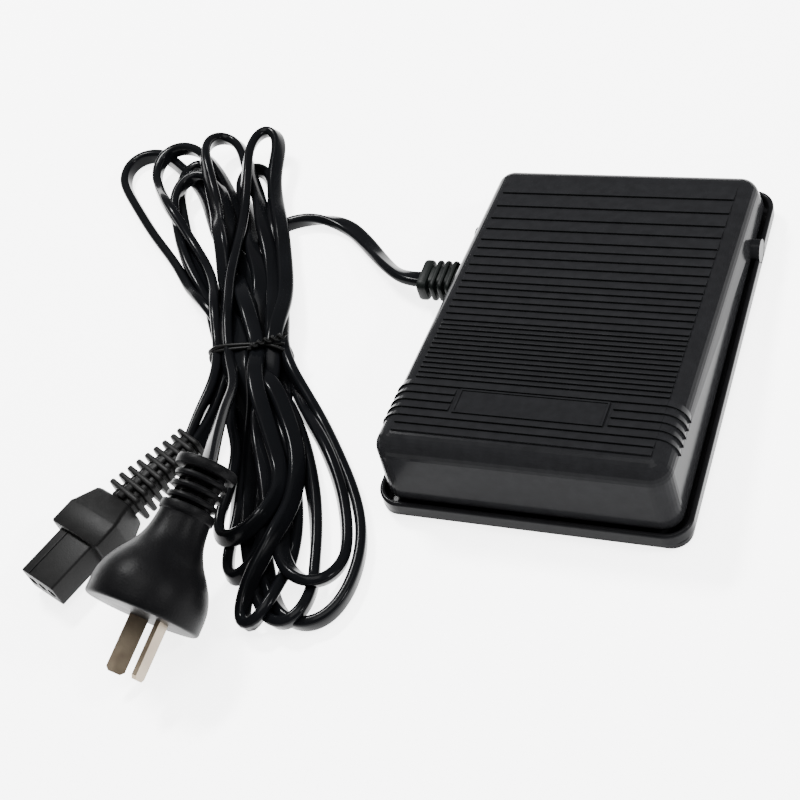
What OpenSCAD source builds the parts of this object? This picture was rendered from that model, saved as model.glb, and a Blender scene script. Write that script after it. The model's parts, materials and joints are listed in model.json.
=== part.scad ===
// Electronic foot pedal for a sewing machine: a wedge-shaped rocking cover on a shallow base,
// with its speed control inside and a double lead folded in a hank.
// +Y points to the heel (thin) end, -Y to the toe (tall) end, and the feet stand on z = 0.

/* [Base] */
// Width of the base over its rim
base_w = 104; // [102:0.5:106]
// Length of the base from toe to heel
base_l = 150; // [148:0.5:152]
// Corner radius of the rim
rim_r = 8.5; // [8:0.25:10]
// Thickness of the rim
rim_t = 1.8; // [1.6:0.1:2]
// Height of the rim's top above the floor
rim_top = 7.9; // [7.7:0.1:8.1]
// Height of the rubber feet
foot_h = 1.5; // [1.2:0.1:1.6]

/* [Cover] */
// Gap between the rim and the cover at its lower edge
cover_gap = 1.2; // [1:0.1:1.5]
// Wall thickness of the cover
wall = 2.2; // [2:0.1:2.4]
// Height of the tread at the middle of the pedal
tread_mid_z = 27; // [26.5:0.25:28]
// Rise of the tread towards the toe, per millimetre
tread_slope = 0.0987; // [0.09:0.0005:0.105]
// Radius of the cover's rounded edges
edge_r = 6.5; // [6:0.25:7]
// Inset of the tread's outline from the lower edge, on each side
draft = 1; // [0.5:0.1:1.5]
// Height of the sawtooth ridges
ridge_h = 0.7; // [0.5:0.1:0.9]

/* [Hinge] */
// Distance of the hinge axis from the middle, towards the heel
hinge_y = 45; // [43:0.5:47]
// Height of the hinge axis
hinge_z = 8.2; // [8:0.1:8.4]
// Radius of the steel hinge pins
pin_r = 1.5; // [1.25:0.25:1.75]
// Radial clearance of the cover's hinge bores on the pins
pin_play = 0.06; // [0.04:0.01:0.08]

/* [Leads] */
// Width of the flat two-core lead
lead_w = 6; // [5.6:0.1:6.4]
// Thickness of the flat two-core lead
lead_t = 3.7; // [3.5:0.1:3.9]
// Height of the folded hank
hank_h = 13; // [12:0.5:15]

/* [Hidden] */
$fn = 48;
eps = 0.01;

// Base levels
plinth_top = foot_h + 2;
floor_t = 1.1;
floor_z = foot_h + floor_t;
skirt_z = rim_top - 0.2;
plinth_r = rim_r - 2;
plinth_inset = 0.5;

// Cover outline: lower edge, then the tread level's rounding centres
cover_w = base_w - 2 * (rim_t + cover_gap);
cover_l = base_l - 2 * (rim_t + cover_gap);
low_x = cover_w / 2 - edge_r;
low_y = cover_l / 2 - edge_r;
top_x = low_x - draft;
top_y = low_y - draft;
tilt = atan(tread_slope);
function tread_z(y) = tread_mid_z - tread_slope * y;
function ceiling_z(y) = tread_z(y) - wall / cos(tilt);
function round_z(y) = tread_z(y) - edge_r / cos(tilt);

// Ridges from the heel: groups of [how many, pitch]; the fine ones are under the ball of the foot
ridge_start = 70.2;
ridge_groups = [[1, 7.4], [1, 7.9], [1, 7.4], [1, 6.9], [2, 5.9], [4, 4.5], [1, 3.9], [6, 3.3],
                [12, 2.27], [7, 3.4]];
ridge_pitches = [for (g = ridge_groups) for (i = [1:g[0]]) g[1]];
ridge_half = cover_w / 2 - edge_r - draft + 0.3;
wrap_first = 29;
wrap_count = 5;
badge_first = 30;
badge_count = 3;
badge_half = 24.5;
lap = 0.1;
function sum_to(list, n) = n < 0 ? 0 : list[n] + sum_to(list, n - 1);
function ridge_y(i) = ridge_start - sum_to(ridge_pitches, i);

// Hinge
trunnion_r = 4;
notch_r = 4.3;
trunnion_out = base_w / 2 - 0.1;
cheek_x = 42.5;
cheek_t = 2.8;
pin_len = 8.2;

// Return springs and their seats
spring_x = 30;
spring_y = -55;
spring_r = 4.2;
spring_wire = 1.1;
spring_turns = 6;
spring_low = floor_z + 0.8;
spring_top = 22;

// Circuit board
board_x0 = -34;
board_x1 = 38;
board_y0 = -44;
board_y1 = 18;
board_z = 6.6;
board_t = 1.6;
board_top = board_z + board_t;
post_in = 4;
post_xs = [board_x0 + post_in, board_x1 - post_in];
post_ys = [board_y0 + post_in, board_y1 - post_in];
screw_r = 1.4;

// Speed slider: a plunger that the cover presses down
slider_x = -16;
slider_y = -28;
housing_w = 13;
housing_l = 10;
housing_top = 20.5;
slider_top = 24.5;
slider_foot_z = 15.5;
press_gap = 0.3;
slider_spring_low = board_top + 1.3;

// Stops that hold the cover down at rest
stop_x = 14;
stop_y = -60;
stop_w = 8;
stop_ledge_z = 13;

// Gland and clamp on the lead's own line
gland_y = 22;
gland_z = 9.1;
gland_w = 14.4;
gland_h = 9;
gland_out = -66;
gland_in = -43;
clamp_x = -37.5;
clamp_half = 8;

// Lead routes: hand-chosen points, each on the smooth curve that the lead follows
pedal_route = [[-66, 22, 9.1], [-73, 23, 8.6], [-80, 27, 7.2], [-88, 34, 5.4], [-98, 43.5, 3.9],
               [-108, 51.5, 3], [-118, 55.5, 2.8], [-128, 55.5, 2.8], [-138, 51, 3]];
connector_route_a = [[-131, -21.5, 8.6], [-129, -34.5, 9.5], [-129, -47, 9.5], [-129, -58.8, 8.5]];
connector_route_b = [[-128.8, -25, 5.6], [-126, -38, 5.8], [-124.5, -50, 7], [-124.3, -61.6, 8.5]];
plug_route = [[-123.5, -24, 9.6], [-118.5, -37, 13.4], [-112.5, -53, 20], [-106, -69.5, 26.5],
              [-99.7, -84.9, 31.9]];

// Hank outline in plan: a waist at the tie, the loop ends of the upper and the lower lobe
hank_tie = [-121, -20];
hank_angle = 102;
hank_waist = 28;
upper_ends = [[-211, 76, 15], [-187, 86, 15], [-166, 92, 15]];
lower_ends = [[-96, -88, 10], [-76, -116, 11], [-62, -112, 13], [-58, -92, 13]];
upper_side = [-139, 44, 10];
tie_t = 1.5;
tie_wall = 1.1;

// Machine connector, lying flat; its nose points to the toe side
nose_tip = [-156.5, -124.5];
nose_angle = 69.9;
nose_w = 16.4;
nose_h = 10.2;
nose_l = 19.2;
collar_w = 23.7;
collar_h = 15;
collar_l = 10;
taper_l = 9;
relief_angle = -6.9;
relief_shift = -2;
relief_l = 33;
relief_ribs = 8;
contact_r = 1.5;
contact_pitch = 5;

// Mains plug, lying on the edge of its face with the lead's end raised
plug_r = 19.3;
plug_az = 80.9;
plug_el = 15;
plug_at = [-107.6, -134.3, plug_r * cos(plug_el)];
plug_ring = 7.92;
blade_angles = [-82, 38];
blade_l = 19;
blade_w = 6.35;
blade_t = 1.6;

// A rectangle with rounded corners, as a flat outline
module rounded_outline(w, l, r) {
    square([w - 2 * r, l], center = true);
    square([w, l - 2 * r], center = true);
    for (x = [-1, 1], y = [-1, 1])
        translate([x * (w / 2 - r), y * (l / 2 - r)]) circle(r);
}

module slab(w, l, r, z0, z1) {
    translate([0, 0, z0]) linear_extrude(z1 - z0) rounded_outline(w, l, r);
}

// A box given by its lowest and highest corners
module block(a, b) {
    translate(a) cube(b - a);
}

// A rod along X
module rod_x(x0, x1, y, z, r) {
    translate([x0, y, z]) rotate([0, 90, 0]) cylinder(h = x1 - x0, r = r);
}

module post(x, y, z0, z1, r) {
    translate([x, y, z0]) cylinder(h = z1 - z0, r = r);
}

// A coil spring of round wire, swept as one closed solid
function coil_point(r, z0, z1, turns, t) =
    [r * cos(360 * turns * t), r * sin(360 * turns * t), z0 + (z1 - z0) * t];

module coil(r, wire, z0, z1, turns) {
    sides = 6;
    steps = 14 * turns;
    rings = [for (i = [0:steps])
        let (t = i / steps, a = 360 * turns * t, c = coil_point(r, z0, z1, turns, t))
        [for (k = [0:sides - 1])
            let (b = 360 * k / sides)
            [c.x + wire / 2 * cos(b) * cos(a), c.y + wire / 2 * cos(b) * sin(a),
             c.z + wire / 2 * sin(b)]]];
    sweep_rings(rings, sides);
}

// Joins rings of points, all with the same number of sides, into a closed solid
module sweep_rings(rings, sides) {
    last = len(rings) - 1;
    points = [for (ring = rings) for (p = ring) p];
    skin = [for (i = [0:last - 1]) for (k = [0:sides - 1])
        let (n = (k + 1) % sides)
        [i * sides + k, i * sides + n, (i + 1) * sides + n, (i + 1) * sides + k]];
    start = [for (k = [sides - 1:-1:0]) k];
    end = [for (k = [0:sides - 1]) last * sides + k];
    polyhedron(points, concat([start], skin, [end]), convexity = 6);
}

// A flat lead swept along a route, with its width level
function smooth_point(p, i, t) =
    let (n = len(p) - 1, a = p[max(i - 1, 0)], b = p[i], c = p[min(i + 1, n)], d = p[min(i + 2, n)])
    0.5 * (2 * b + (c - a) * t + (2 * a - 5 * b + 4 * c - d) * t * t
           + (3 * b - a - 3 * c + d) * t * t * t);

function smooth_route(p, parts) = concat(
    [for (i = [0:len(p) - 2]) for (k = [0:parts - 1]) smooth_point(p, i, k / parts)],
    [p[len(p) - 1]]);

module lead(route) {
    sides = 10;
    p = smooth_route(route, 2);
    last = len(p) - 1;
    rings = [for (i = [0:last])
        let (d = p[min(i + 1, last)] - p[max(i - 1, 0)], along = d / norm(d),
             side = cross([0, 0, 1], along) / norm(cross([0, 0, 1], along)),
             up = cross(along, side))
        [for (k = [0:sides - 1])
            let (a = -360 * k / sides)
            p[i] + side * lead_w / 2 * cos(a) + up * lead_t / 2 * sin(a)]];
    color("#161616") sweep_rings(rings, sides);
}

// Base: plinth, rim, floor, inner wall, hinge cheeks, seats and posts
module base_shell() {
    difference() {
        union() {
            slab(base_w - 2 * plinth_inset, base_l - 2 * plinth_inset, plinth_r, foot_h, plinth_top);
            slab(base_w, base_l, rim_r, plinth_top, rim_top - rim_t / 2);
            rim_bead();
        }
        slab(base_w - 2 * rim_t, base_l - 2 * rim_t, rim_r - rim_t, floor_z, rim_top - rim_t / 2 + eps);
        for (s = [-1, 1])
            rod_x(s > 0 ? base_w / 2 - 3 : -base_w / 2 - 1, s > 0 ? base_w / 2 + 1 : -base_w / 2 + 3,
                  hinge_y, hinge_z, notch_r);
        block([-base_w / 2 - 1, gland_y - 5.4, 4.9], [-base_w / 2 + 3, gland_y + 5.4, rim_top + 1]);
        for (x = [-40, 40], y = [-62, 62]) post(x, y, foot_h - 1, floor_z + 1, 2);
    }
}

// The rim's rounded top: four straight runs and four quarter turns
module bead_outline() {
    translate([-rim_t / 2, 0]) difference() {
        circle(rim_t / 2);
        translate([-rim_t, -rim_t]) square([2 * rim_t, rim_t - 0.2]);
    }
}

module rim_bead() {
    side_x = base_w / 2 - rim_r;
    side_y = base_l / 2 - rim_r;
    translate([0, 0, rim_top - rim_t / 2]) {
        for (a = [0, 180]) rotate([0, 0, a]) {
            translate([base_w / 2, side_y, 0]) rotate([90, 0, 0]) linear_extrude(2 * side_y) bead_outline();
            translate([-side_x, base_l / 2, 0]) rotate([90, 0, 90]) linear_extrude(2 * side_x) bead_outline();
        }
        for (sx = [0, 1], sy = [0, 1])
            translate([(2 * sx - 1) * side_x, (2 * sy - 1) * side_y, 0])
                rotate([0, 0, sx == 1 ? (sy == 1 ? 0 : -90) : (sy == 1 ? 90 : 180)])
                    rotate_extrude(angle = 90) translate([rim_r, 0]) bead_outline();
    }
}

module inner_wall() {
    difference() {
        slab(91.6, 137.6, 4, floor_z - eps, 5.6);
        slab(88.4, 134.4, 2.6, 0, 6);
        block([-50, gland_y - 9, floor_z - 1], [-40, gland_y + 9, 6]);
        for (x = [-44.5, 44.5]) block([x - 4, hinge_y - 6, floor_z - 1], [x + 4, hinge_y + 6, 6]);
    }
}

module hinge_cheek(s) {
    x0 = s > 0 ? cheek_x : -cheek_x - cheek_t;
    difference() {
        union() {
            block([x0, hinge_y - 5, floor_z - eps], [x0 + cheek_t, hinge_y + 5, hinge_z]);
            rod_x(x0, x0 + cheek_t, hinge_y, hinge_z, 5);
        }
        rod_x(x0 - 1, x0 + cheek_t + 1, hinge_y, hinge_z, pin_r);
    }
}

module stop_post(s) {
    x0 = s * stop_x - stop_w / 2;
    x1 = s * stop_x + stop_w / 2;
    block([x0, stop_y, floor_z - eps], [x1, stop_y + 2.4, stop_ledge_z + 1.8]);
    block([x0, stop_y - 2.6, stop_ledge_z], [x1, stop_y + eps, stop_ledge_z + 1.8]);
}

module screw_post(x, y, z1) {
    difference() {
        post(x, y, floor_z - eps, z1, 3);
        post(x, y, floor_z + 0.4, z1 + 1, 1.1);
    }
}

module base_tray() {
    color("#121212") {
        base_shell();
        inner_wall();
        for (s = [-1, 1]) {
            hinge_cheek(s);
            stop_post(s);
            difference() {
                post(s * spring_x, spring_y, floor_z - eps, spring_low + 2.2, 6.4);
                post(s * spring_x, spring_y, spring_low, spring_low + 5, 5.1);
            }
            post(s * spring_x, spring_y, spring_low - eps, spring_low + 3, 3.3);
            screw_post(clamp_x, gland_y + s * clamp_half, 7.4);
        }
        for (x = post_xs, y = post_ys) screw_post(x, y, board_z);
        for (y = [-10, 30]) block([-26, y + 18, floor_z - eps], [34, y + 19.4, 4.6]);
    }
}

module rubber_feet() {
    color("#2a2a2a")
    for (x = [-40, 40], y = [-62, 62]) translate([x, y, 0]) {
        rotate_extrude() polygon([[0, 0], [6.4, 0], [7, 0.6], [7, foot_h], [2, foot_h],
                                  [2, floor_z], [2.5, floor_z], [1.6, floor_z + 1.4], [0, floor_z + 1.4]]);
    }
}

module hinge_pins() {
    color("silver")
    for (s = [-1, 1]) {
        rod_x(s > 0 ? cheek_x : -cheek_x - pin_len, s > 0 ? cheek_x + pin_len : -cheek_x,
              hinge_y, hinge_z, pin_r);
        rod_x(s > 0 ? cheek_x - 1 : -cheek_x, s > 0 ? cheek_x : -cheek_x + 1, hinge_y, hinge_z, 2.4);
    }
}

// Cover: a drafted, rounded wedge hollowed from below
module wedge(r, z0) {
    hull() {
        for (x = [-1, 1], y = [-1, 1]) {
            translate([x * low_x, y * low_y, z0]) cylinder(h = 0.2, r = r, $fn = 32);
            translate([x * top_x, y * top_y, round_z(y * top_y)]) sphere(r = r, $fn = 32);
        }
    }
}

// Puts children on the tread, with Y measured level and Z square to it
module on_tread() {
    translate([0, 0, tread_mid_z]) rotate([-tilt, 0, 0]) children();
}

function along_tread(y) = y / cos(tilt);

module sawtooth(i, x0, x1) {
    y0 = along_tread(ridge_y(i - 1));
    y1 = along_tread(ridge_y(i));
    translate([x0, 0, 0]) rotate([90, 0, 90])
        linear_extrude(x1 - x0)
            polygon([[y0 + lap, -0.5], [y0 + lap, -lap * ridge_h / (y0 - y1)], [y1, ridge_h], [y1, -0.5]]);
}

// A ridge's end that runs over the rounded edge and down to the side
module wrapped_end(i, s) {
    y0 = along_tread(ridge_y(i - 1));
    y1 = along_tread(ridge_y(i));
    translate([s * top_x, 0, -edge_r]) rotate([90, 0, 0]) rotate([0, 0, s > 0 ? 2 : 90])
        rotate_extrude(angle = 88)
            polygon([[edge_r - 1, -y0 - lap], [edge_r - 0.2, -y0 - lap],
                     [edge_r + ridge_h - lap, -y1 - lap / 3], [edge_r - 1, -y1 - lap / 3]]);
}

function in_badge(i) = i >= badge_first && i < badge_first + badge_count;

module ridges() {
    for (i = [1:len(ridge_pitches) - 1]) {
        if (in_badge(i)) {
            sawtooth(i, -ridge_half, -badge_half - 1.5);
            sawtooth(i, badge_half + 1.5, ridge_half);
        } else {
            sawtooth(i, -ridge_half, ridge_half);
        }
    }
    for (i = [wrap_first:wrap_first + wrap_count - 1], s = [-1, 1]) wrapped_end(i, s);
}

// A plain framed panel in place of any lettering
module badge() {
    y0 = along_tread(ridge_y(badge_first + badge_count - 1)) - 0.6;
    y1 = along_tread(ridge_y(badge_first - 1)) - 0.6;
    block([-badge_half, y0, -0.5], [badge_half, y1, 0.35]);
    for (y = [y0, y1 - 0.6]) block([-badge_half, y, 0], [badge_half, y + 0.6, ridge_h]);
    for (x = [-badge_half, badge_half - 0.6]) block([x, y0, 0], [x + 0.6, y1, ridge_h]);
}

module stop_hook(s) {
    x0 = s * stop_x - stop_w / 2 + 0.5;
    x1 = s * stop_x + stop_w / 2 - 0.5;
    y0 = stop_y - 6.2;
    foot_z = stop_ledge_z - press_gap;
    block([x0, y0, foot_z - 2], [x1, y0 + 2, ceiling_z(y0) + 0.4]);
    block([x0, y0, foot_z - 2], [x1, stop_y - 0.5, foot_z]);
}

module trunnion(s) {
    x0 = s > 0 ? cover_w / 2 - wall - 0.2 : -trunnion_out;
    x1 = s > 0 ? trunnion_out : -cover_w / 2 + wall + 0.2;
    rod_x(x0, x1, hinge_y, hinge_z, trunnion_r);
}

module trunnion_bore(s) {
    r = pin_r + pin_play;
    rod_x(s > 0 ? 40 : -cheek_x - pin_len - 0.5, s > 0 ? cheek_x + pin_len + 0.5 : -40,
          hinge_y, hinge_z, r);
}

module treadle_cover() {
    color("#101010") difference() {
        union() {
            difference() {
                wedge(edge_r, skirt_z);
                translate([0, 0, -0.5]) wedge(edge_r - wall, skirt_z);
                wedge(edge_r - wall, skirt_z - 0.5);
            }
            for (s = [-1, 1]) {
                trunnion(s);
                stop_hook(s);
                difference() {
                    post(s * spring_x, spring_y, spring_top - 1.5, ceiling_z(spring_y) + 0.4, 6.4);
                    post(s * spring_x, spring_y, spring_top - 2, spring_top, 5.1);
                }
            }
            post(slider_x, slider_y, slider_top + press_gap, ceiling_z(slider_y) + 0.4, 2.6);
            on_tread() {
                ridges();
                badge();
            }
        }
        for (s = [-1, 1]) trunnion_bore(s);
        block([-cover_w / 2 - 1, gland_y - 7.6, skirt_z - 1], [-cover_w / 2 + wall + 1, gland_y + 7.6, 15]);
    }
}

module return_springs() {
    color("silver") for (s = [-1, 1])
        translate([s * spring_x, spring_y, 0])
            coil(spring_r, spring_wire, spring_low + spring_wire / 2,
                 spring_top - spring_wire / 2, spring_turns);
}

// Electronics
module circuit_board() {
    color("#b98a3c") difference() {
        block([board_x0, board_y0, board_z], [board_x1, board_y1, board_top]);
        for (x = post_xs, y = post_ys) post(x, y, board_z - 1, board_top + 1, 1.6);
        block([board_x0 - 1, board_y0 - 1, board_z - 1], [board_x0 + 3, board_y0 + 2, board_top + 1]);
    }
}

module pan_screw(x, y, z, shank) {
    post(x, y, z - shank, z + eps, 1.1);
    difference() {
        post(x, y, z, z + 1.8, 2.6);
        block([x - 0.35, y - 1.7, z + 1], [x + 0.35, y + 1.7, z + 2]);
        block([x - 1.7, y - 0.35, z + 1], [x + 1.7, y + 0.35, z + 2]);
    }
}

module board_screws() {
    color("silver") for (x = post_xs, y = post_ys) pan_screw(x, y, board_top, 4.6);
}

module slider_housing() {
    color("#3b3f46") difference() {
        block([slider_x - housing_w / 2, slider_y - housing_l / 2, board_top],
              [slider_x + housing_w / 2, slider_y + housing_l / 2, housing_top]);
        block([slider_x - housing_w / 2 + 1.4, slider_y - housing_l / 2 + 1.2, board_top + 1],
              [slider_x + housing_w / 2 - 2, slider_y + housing_l / 2 - 1.2, housing_top - 1.2]);
        post(slider_x, slider_y, housing_top - 2, housing_top + 1, 2.6);
    }
}

module resistance_track() {
    x1 = slider_x + housing_w / 2 - 2;
    color("#202830") block([x1 - 0.5, slider_y - 3, board_top + 1.4], [x1, slider_y + 3, housing_top - 1.4]);
}

module speed_slider() {
    x1 = slider_x + housing_w / 2 - 2;
    color("ivory") {
        post(slider_x, slider_y, slider_foot_z, slider_top, 2.2);
        block([slider_x - 3.6, slider_y - 3, slider_foot_z],
              [slider_x + 3.2, slider_y + 3, slider_foot_z + 2]);
        block([slider_x + 3, slider_y - 1.4, slider_foot_z + 0.4],
              [x1 - 0.8, slider_y + 1.4, slider_foot_z + 1.6]);
    }
}

module slider_spring() {
    color("silver") translate([slider_x, slider_y, 0])
        coil(2, 0.5, slider_spring_low, slider_foot_z - 0.3, 4);
}

sink_x = 26;
sink_y = -22;

module heat_sink() {
    color("#c9ccd1") difference() {
        union() {
            block([sink_x - 1, sink_y - 11, board_top], [sink_x + 0.8, sink_y + 11, board_top + 13]);
            for (k = [0, 1, 3, 4]) block([sink_x + 0.5, sink_y - 11 + k * 5.2, board_top],
                                  [sink_x + 7, sink_y - 9.8 + k * 5.2, board_top + 13]);
        }
        rod_x(sink_x - 3, sink_x + 9, sink_y, board_top + 9.6, 1.6);
    }
}

module triac() {
    x = sink_x - 1;
    color("#1c1c1c") block([x - 4.4, sink_y - 5, board_top + 1.6], [x - 1.2, sink_y + 5, board_top + 6.8]);
    color("silver") {
        difference() {
            block([x - 1.2, sink_y - 5, board_top + 1.6], [x, sink_y + 5, board_top + 12.4]);
            rod_x(x - 3, x + 2, sink_y, board_top + 9.6, 1.6);
        }
        for (k = [-1:1]) block([x - 3, sink_y + 2.5 * k - 0.4, board_z - 1],
                               [x - 2.5, sink_y + 2.5 * k + 0.4, board_top + 1.6]);
    }
}

module heat_sink_screw() {
    z = board_top + 9.6;
    color("silver") {
        rod_x(sink_x - 2.2, sink_x + 3.4, sink_y, z, 1.5);
        rod_x(sink_x - 4.2, sink_x - 2.2, sink_y, z, 2.5);
        translate([sink_x + 0.8, sink_y, z]) rotate([0, 90, 0]) cylinder(h = 2, r = 2.5, $fn = 6);
    }
}

choke_x = 8;
choke_y = -6;

module choke_core() {
    color("#3f4a3a") translate([choke_x, choke_y, board_top + 3.4])
        rotate_extrude() translate([6, 0]) square([3.4, 5.2], center = true);
}

module choke_winding() {
    color("#b4632a") translate([choke_x, choke_y, board_top + 3.4])
        for (k = [0:11]) rotate([0, 0, 15 + 30 * k]) translate([6, 0, 0]) difference() {
            cube([5.2, 0.9, 6.8], center = true);
            cube([3.42, 2, 5.22], center = true);
        }
}

module film_capacitor() {
    color("#8c2f22") block([-8, -40, board_top], [10, -31.5, board_top + 11]);
}

module timing_capacitors() {
    color("#2f6d8c") for (x = [-1, 8]) block([x, -25, board_top], [x + 7, -21.5, board_top + 6.5]);
}

module resistors() {
    color("#c9b48a") for (k = [0:3]) translate([17, 1 + 3.4 * k, board_top + 1.4]) {
        rotate([0, 90, 0]) cylinder(h = 6.4, r = 1.2);
        for (x = [-1.6, 7.6])
            translate([x, 0, -1.4 - board_t]) cylinder(h = 1.4 + board_t, r = 0.3, $fn = 24);
        translate([-1.6, 0, 0]) rotate([0, 90, 0]) cylinder(h = 9.2, r = 0.3, $fn = 24);
    }
}

module trim_potentiometer() {
    color("#2b5fb0") block([-30, -20, board_top], [-23.5, -13.5, board_top + 4.6]);
    color("white") post(-26.75, -16.75, board_top + 4.6, board_top + 5.4, 2.2);
}

module diac() {
    color("#2b7fb0") translate([-4, -14, board_top + 1.1]) rotate([0, 90, 0]) cylinder(h = 4, r = 1);
    color("silver") translate([-6.5, -14, board_top + 1.1])
        rotate([0, 90, 0]) cylinder(h = 9, r = 0.3, $fn = 24);
}

term_x = -21;
term_y = 3;

module terminal_block() {
    color("#d8d4c4") difference() {
        block([term_x - 6, term_y - 4.5, board_top], [term_x + 6, term_y + 4.5, board_top + 8.4]);
        for (s = [-1, 1]) {
            post(term_x + s * 3, term_y - 0.9, board_top + 4, board_top + 9, 1.9);
            translate([term_x + s * 3, term_y + 5.5, board_top + 2.6])
                rotate([90, 0, 0]) cylinder(h = 7, r = 1.5);
        }
    }
}

module terminal_screws() {
    color("silver") for (s = [-1, 1]) difference() {
        post(term_x + s * 3, term_y - 0.9, board_top + 4.2, board_top + 7.4, 1.85);
        block([term_x + s * 3 - 0.35, term_y - 3, board_top + 6.6],
              [term_x + s * 3 + 0.35, term_y + 1.2, board_top + 8]);
    }
}

// The lead's end inside: a clamp bar over the sheath, then the bare cores to the terminals
sheath_end = -32;

module cord_clamp() {
    color("#cfcfcf") difference() {
        union() {
            block([clamp_x - 3.2, gland_y - clamp_half - 3.2, 7.4],
                  [clamp_x + 3.2, gland_y + clamp_half + 3.2, 9]);
            block([clamp_x - 3.2, gland_y - 4.6, 7.4], [clamp_x + 3.2, gland_y + 4.6, 12.2]);
        }
        block([clamp_x - 4, gland_y - lead_w / 2 - 0.2, 6],
              [clamp_x + 4, gland_y + lead_w / 2 + 0.2, gland_z + lead_t / 2 + 0.1]);
        for (s = [-1, 1]) post(clamp_x, gland_y + s * clamp_half, 7, 10, 1.4);
    }
}

module clamp_screws() {
    color("silver") for (s = [-1, 1]) pan_screw(clamp_x, gland_y + s * clamp_half, 9, 5.6);
}

module round_lead(route, r) {
    sides = 8;
    p = smooth_route(route, 2);
    last = len(p) - 1;
    rings = [for (i = [0:last])
        let (d = p[min(i + 1, last)] - p[max(i - 1, 0)], along = d / norm(d),
             side = cross([0, 0, 1], along) / norm(cross([0, 0, 1], along)),
             up = cross(along, side))
        [for (k = [0:sides - 1])
            let (a = -360 * k / sides)
            p[i] + side * r * cos(a) + up * r * sin(a)]];
    sweep_rings(rings, sides);
}

module core_wires() {
    wire_z = board_top + 2.6;
    color("#1a1a1a") block([gland_in, gland_y - lead_w / 2, gland_z - lead_t / 2],
                           [sheath_end, gland_y + lead_w / 2, gland_z + lead_t / 2]);
    color("brown") round_lead([[sheath_end, gland_y + 1.4, gland_z], [-26.5, 23.3, 10], [-21, 20.5, wire_z],
                               [-18.4, 15, wire_z], [term_x + 3, term_y + 1.5, wire_z]], 1.1);
    color("royalblue") round_lead([[sheath_end, gland_y - 1.4, gland_z], [-28.6, 20.2, 10],
                                   [-25.6, 17.6, wire_z], [-24.3, 13.6, wire_z],
                                   [term_x - 3, term_y + 1.5, wire_z]], 1.1);
}

// Ribbed rubber gland, captive in the base rim
module cord_gland() {
    half = gland_w / 2;
    z0 = gland_z - gland_h / 2;
    z1 = gland_z + gland_h / 2;
    rib_pitch = 3;
    color("#1b201e") difference() {
        union() {
            translate([0, 0, z0]) linear_extrude(gland_h)
                polygon([[gland_out, gland_y - half + 0.9], [gland_out + 1, gland_y - half],
                         [-base_w / 2 - 0.1, gland_y - half], [-base_w / 2 - 0.1, gland_y + half],
                         [gland_out + 1, gland_y + half], [gland_out, gland_y + half - 0.9]]);
            block([-base_w / 2 - 0.2, gland_y - 5.3, 5], [gland_in, gland_y + 5.3, z1 - 0.6]);
            block([-cover_w / 2 + wall + 0.9, gland_y - 6.6, 4.9], [gland_in, gland_y + 6.6, z1]);
        }
        for (k = [0:3], s = [-1, 1])
            block([gland_out + 4 + rib_pitch * k, s > 0 ? gland_y + 2.4 : gland_y - half - 1, z0 - 1],
                  [gland_out + 5.3 + rib_pitch * k, s > 0 ? gland_y + half + 1 : gland_y - 2.4, z1 + 1]);
    }
}

module pedal_lead() { lead(pedal_route); }
module connector_lead_a() { lead(connector_route_a); }
module connector_lead_b() { lead(connector_route_b); }
module plug_lead() { lead(plug_route); }

// Hank: two lobes of round loop ends, each joined to the waist at the tie
module lobe(e) {
    across = [cos(hank_angle - 90), sin(hank_angle - 90)] * (hank_waist / 2 - 2);
    at = [e.x, e.y];
    d = at - hank_tie;
    side = [-d.y, d.x] / norm(d) * e.z;
    flip = d.y > 0 ? 1 : -1;
    polygon([at + side, at - side, hank_tie + across * flip, hank_tie - across * flip]);
    translate(at) circle(e.z);
}

module hank() {
    color("#161616") difference() {
        union() {
            linear_extrude(hank_h) {
                for (e = upper_ends) lobe(e);
                lobe(upper_side);
            }
            linear_extrude(hank_h - 3) for (e = lower_ends) lobe(e);
        }
        at_tie() translate([0, 0, -tie_t / 2]) linear_extrude(tie_t) difference() {
            square([hank_waist + 20, hank_h * 3], center = true);
            rounded_outline(hank_waist + 3 - 2 * tie_wall, hank_h + 1.2 - 2 * tie_wall, 4);
        }
    }
}

module at_tie() {
    translate([hank_tie.x, hank_tie.y, hank_h / 2 + 0.6]) rotate([0, 0, hank_angle - 90])
        rotate([90, 0, 0]) children();
}

module twist_tie() {
    color("#0c0c0c") at_tie() translate([0, 0, -tie_t / 2]) linear_extrude(tie_t) difference() {
        rounded_outline(hank_waist + 3, hank_h + 1.2, 5);
        rounded_outline(hank_waist + 3 - 2 * tie_wall, hank_h + 1.2 - 2 * tie_wall, 4);
    }
}

// Machine connector: built along X from its nose, centred on Y
module at_connector() {
    translate([nose_tip.x, nose_tip.y, collar_h / 2]) rotate([0, 0, nose_angle]) children();
}

// A box centred on the X axis, from x0 to x1
module bar(x0, x1, w, h) {
    block([x0, -w / 2, -h / 2], [x1, w / 2, h / 2]);
}

// A tail that narrows along X, cut from two crossed wedges
module tapered_bar(x0, x1, w0, w1, h0, h1) {
    intersection() {
        translate([0, 0, -h0]) linear_extrude(2 * h0)
            polygon([[x0, -w0 / 2], [x1, -w1 / 2], [x1, w1 / 2], [x0, w0 / 2]]);
        rotate([90, 0, 0]) translate([0, 0, -w0]) linear_extrude(2 * w0)
            polygon([[x0, -h0 / 2], [x1, -h1 / 2], [x1, h1 / 2], [x0, h0 / 2]]);
    }
}

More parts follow.
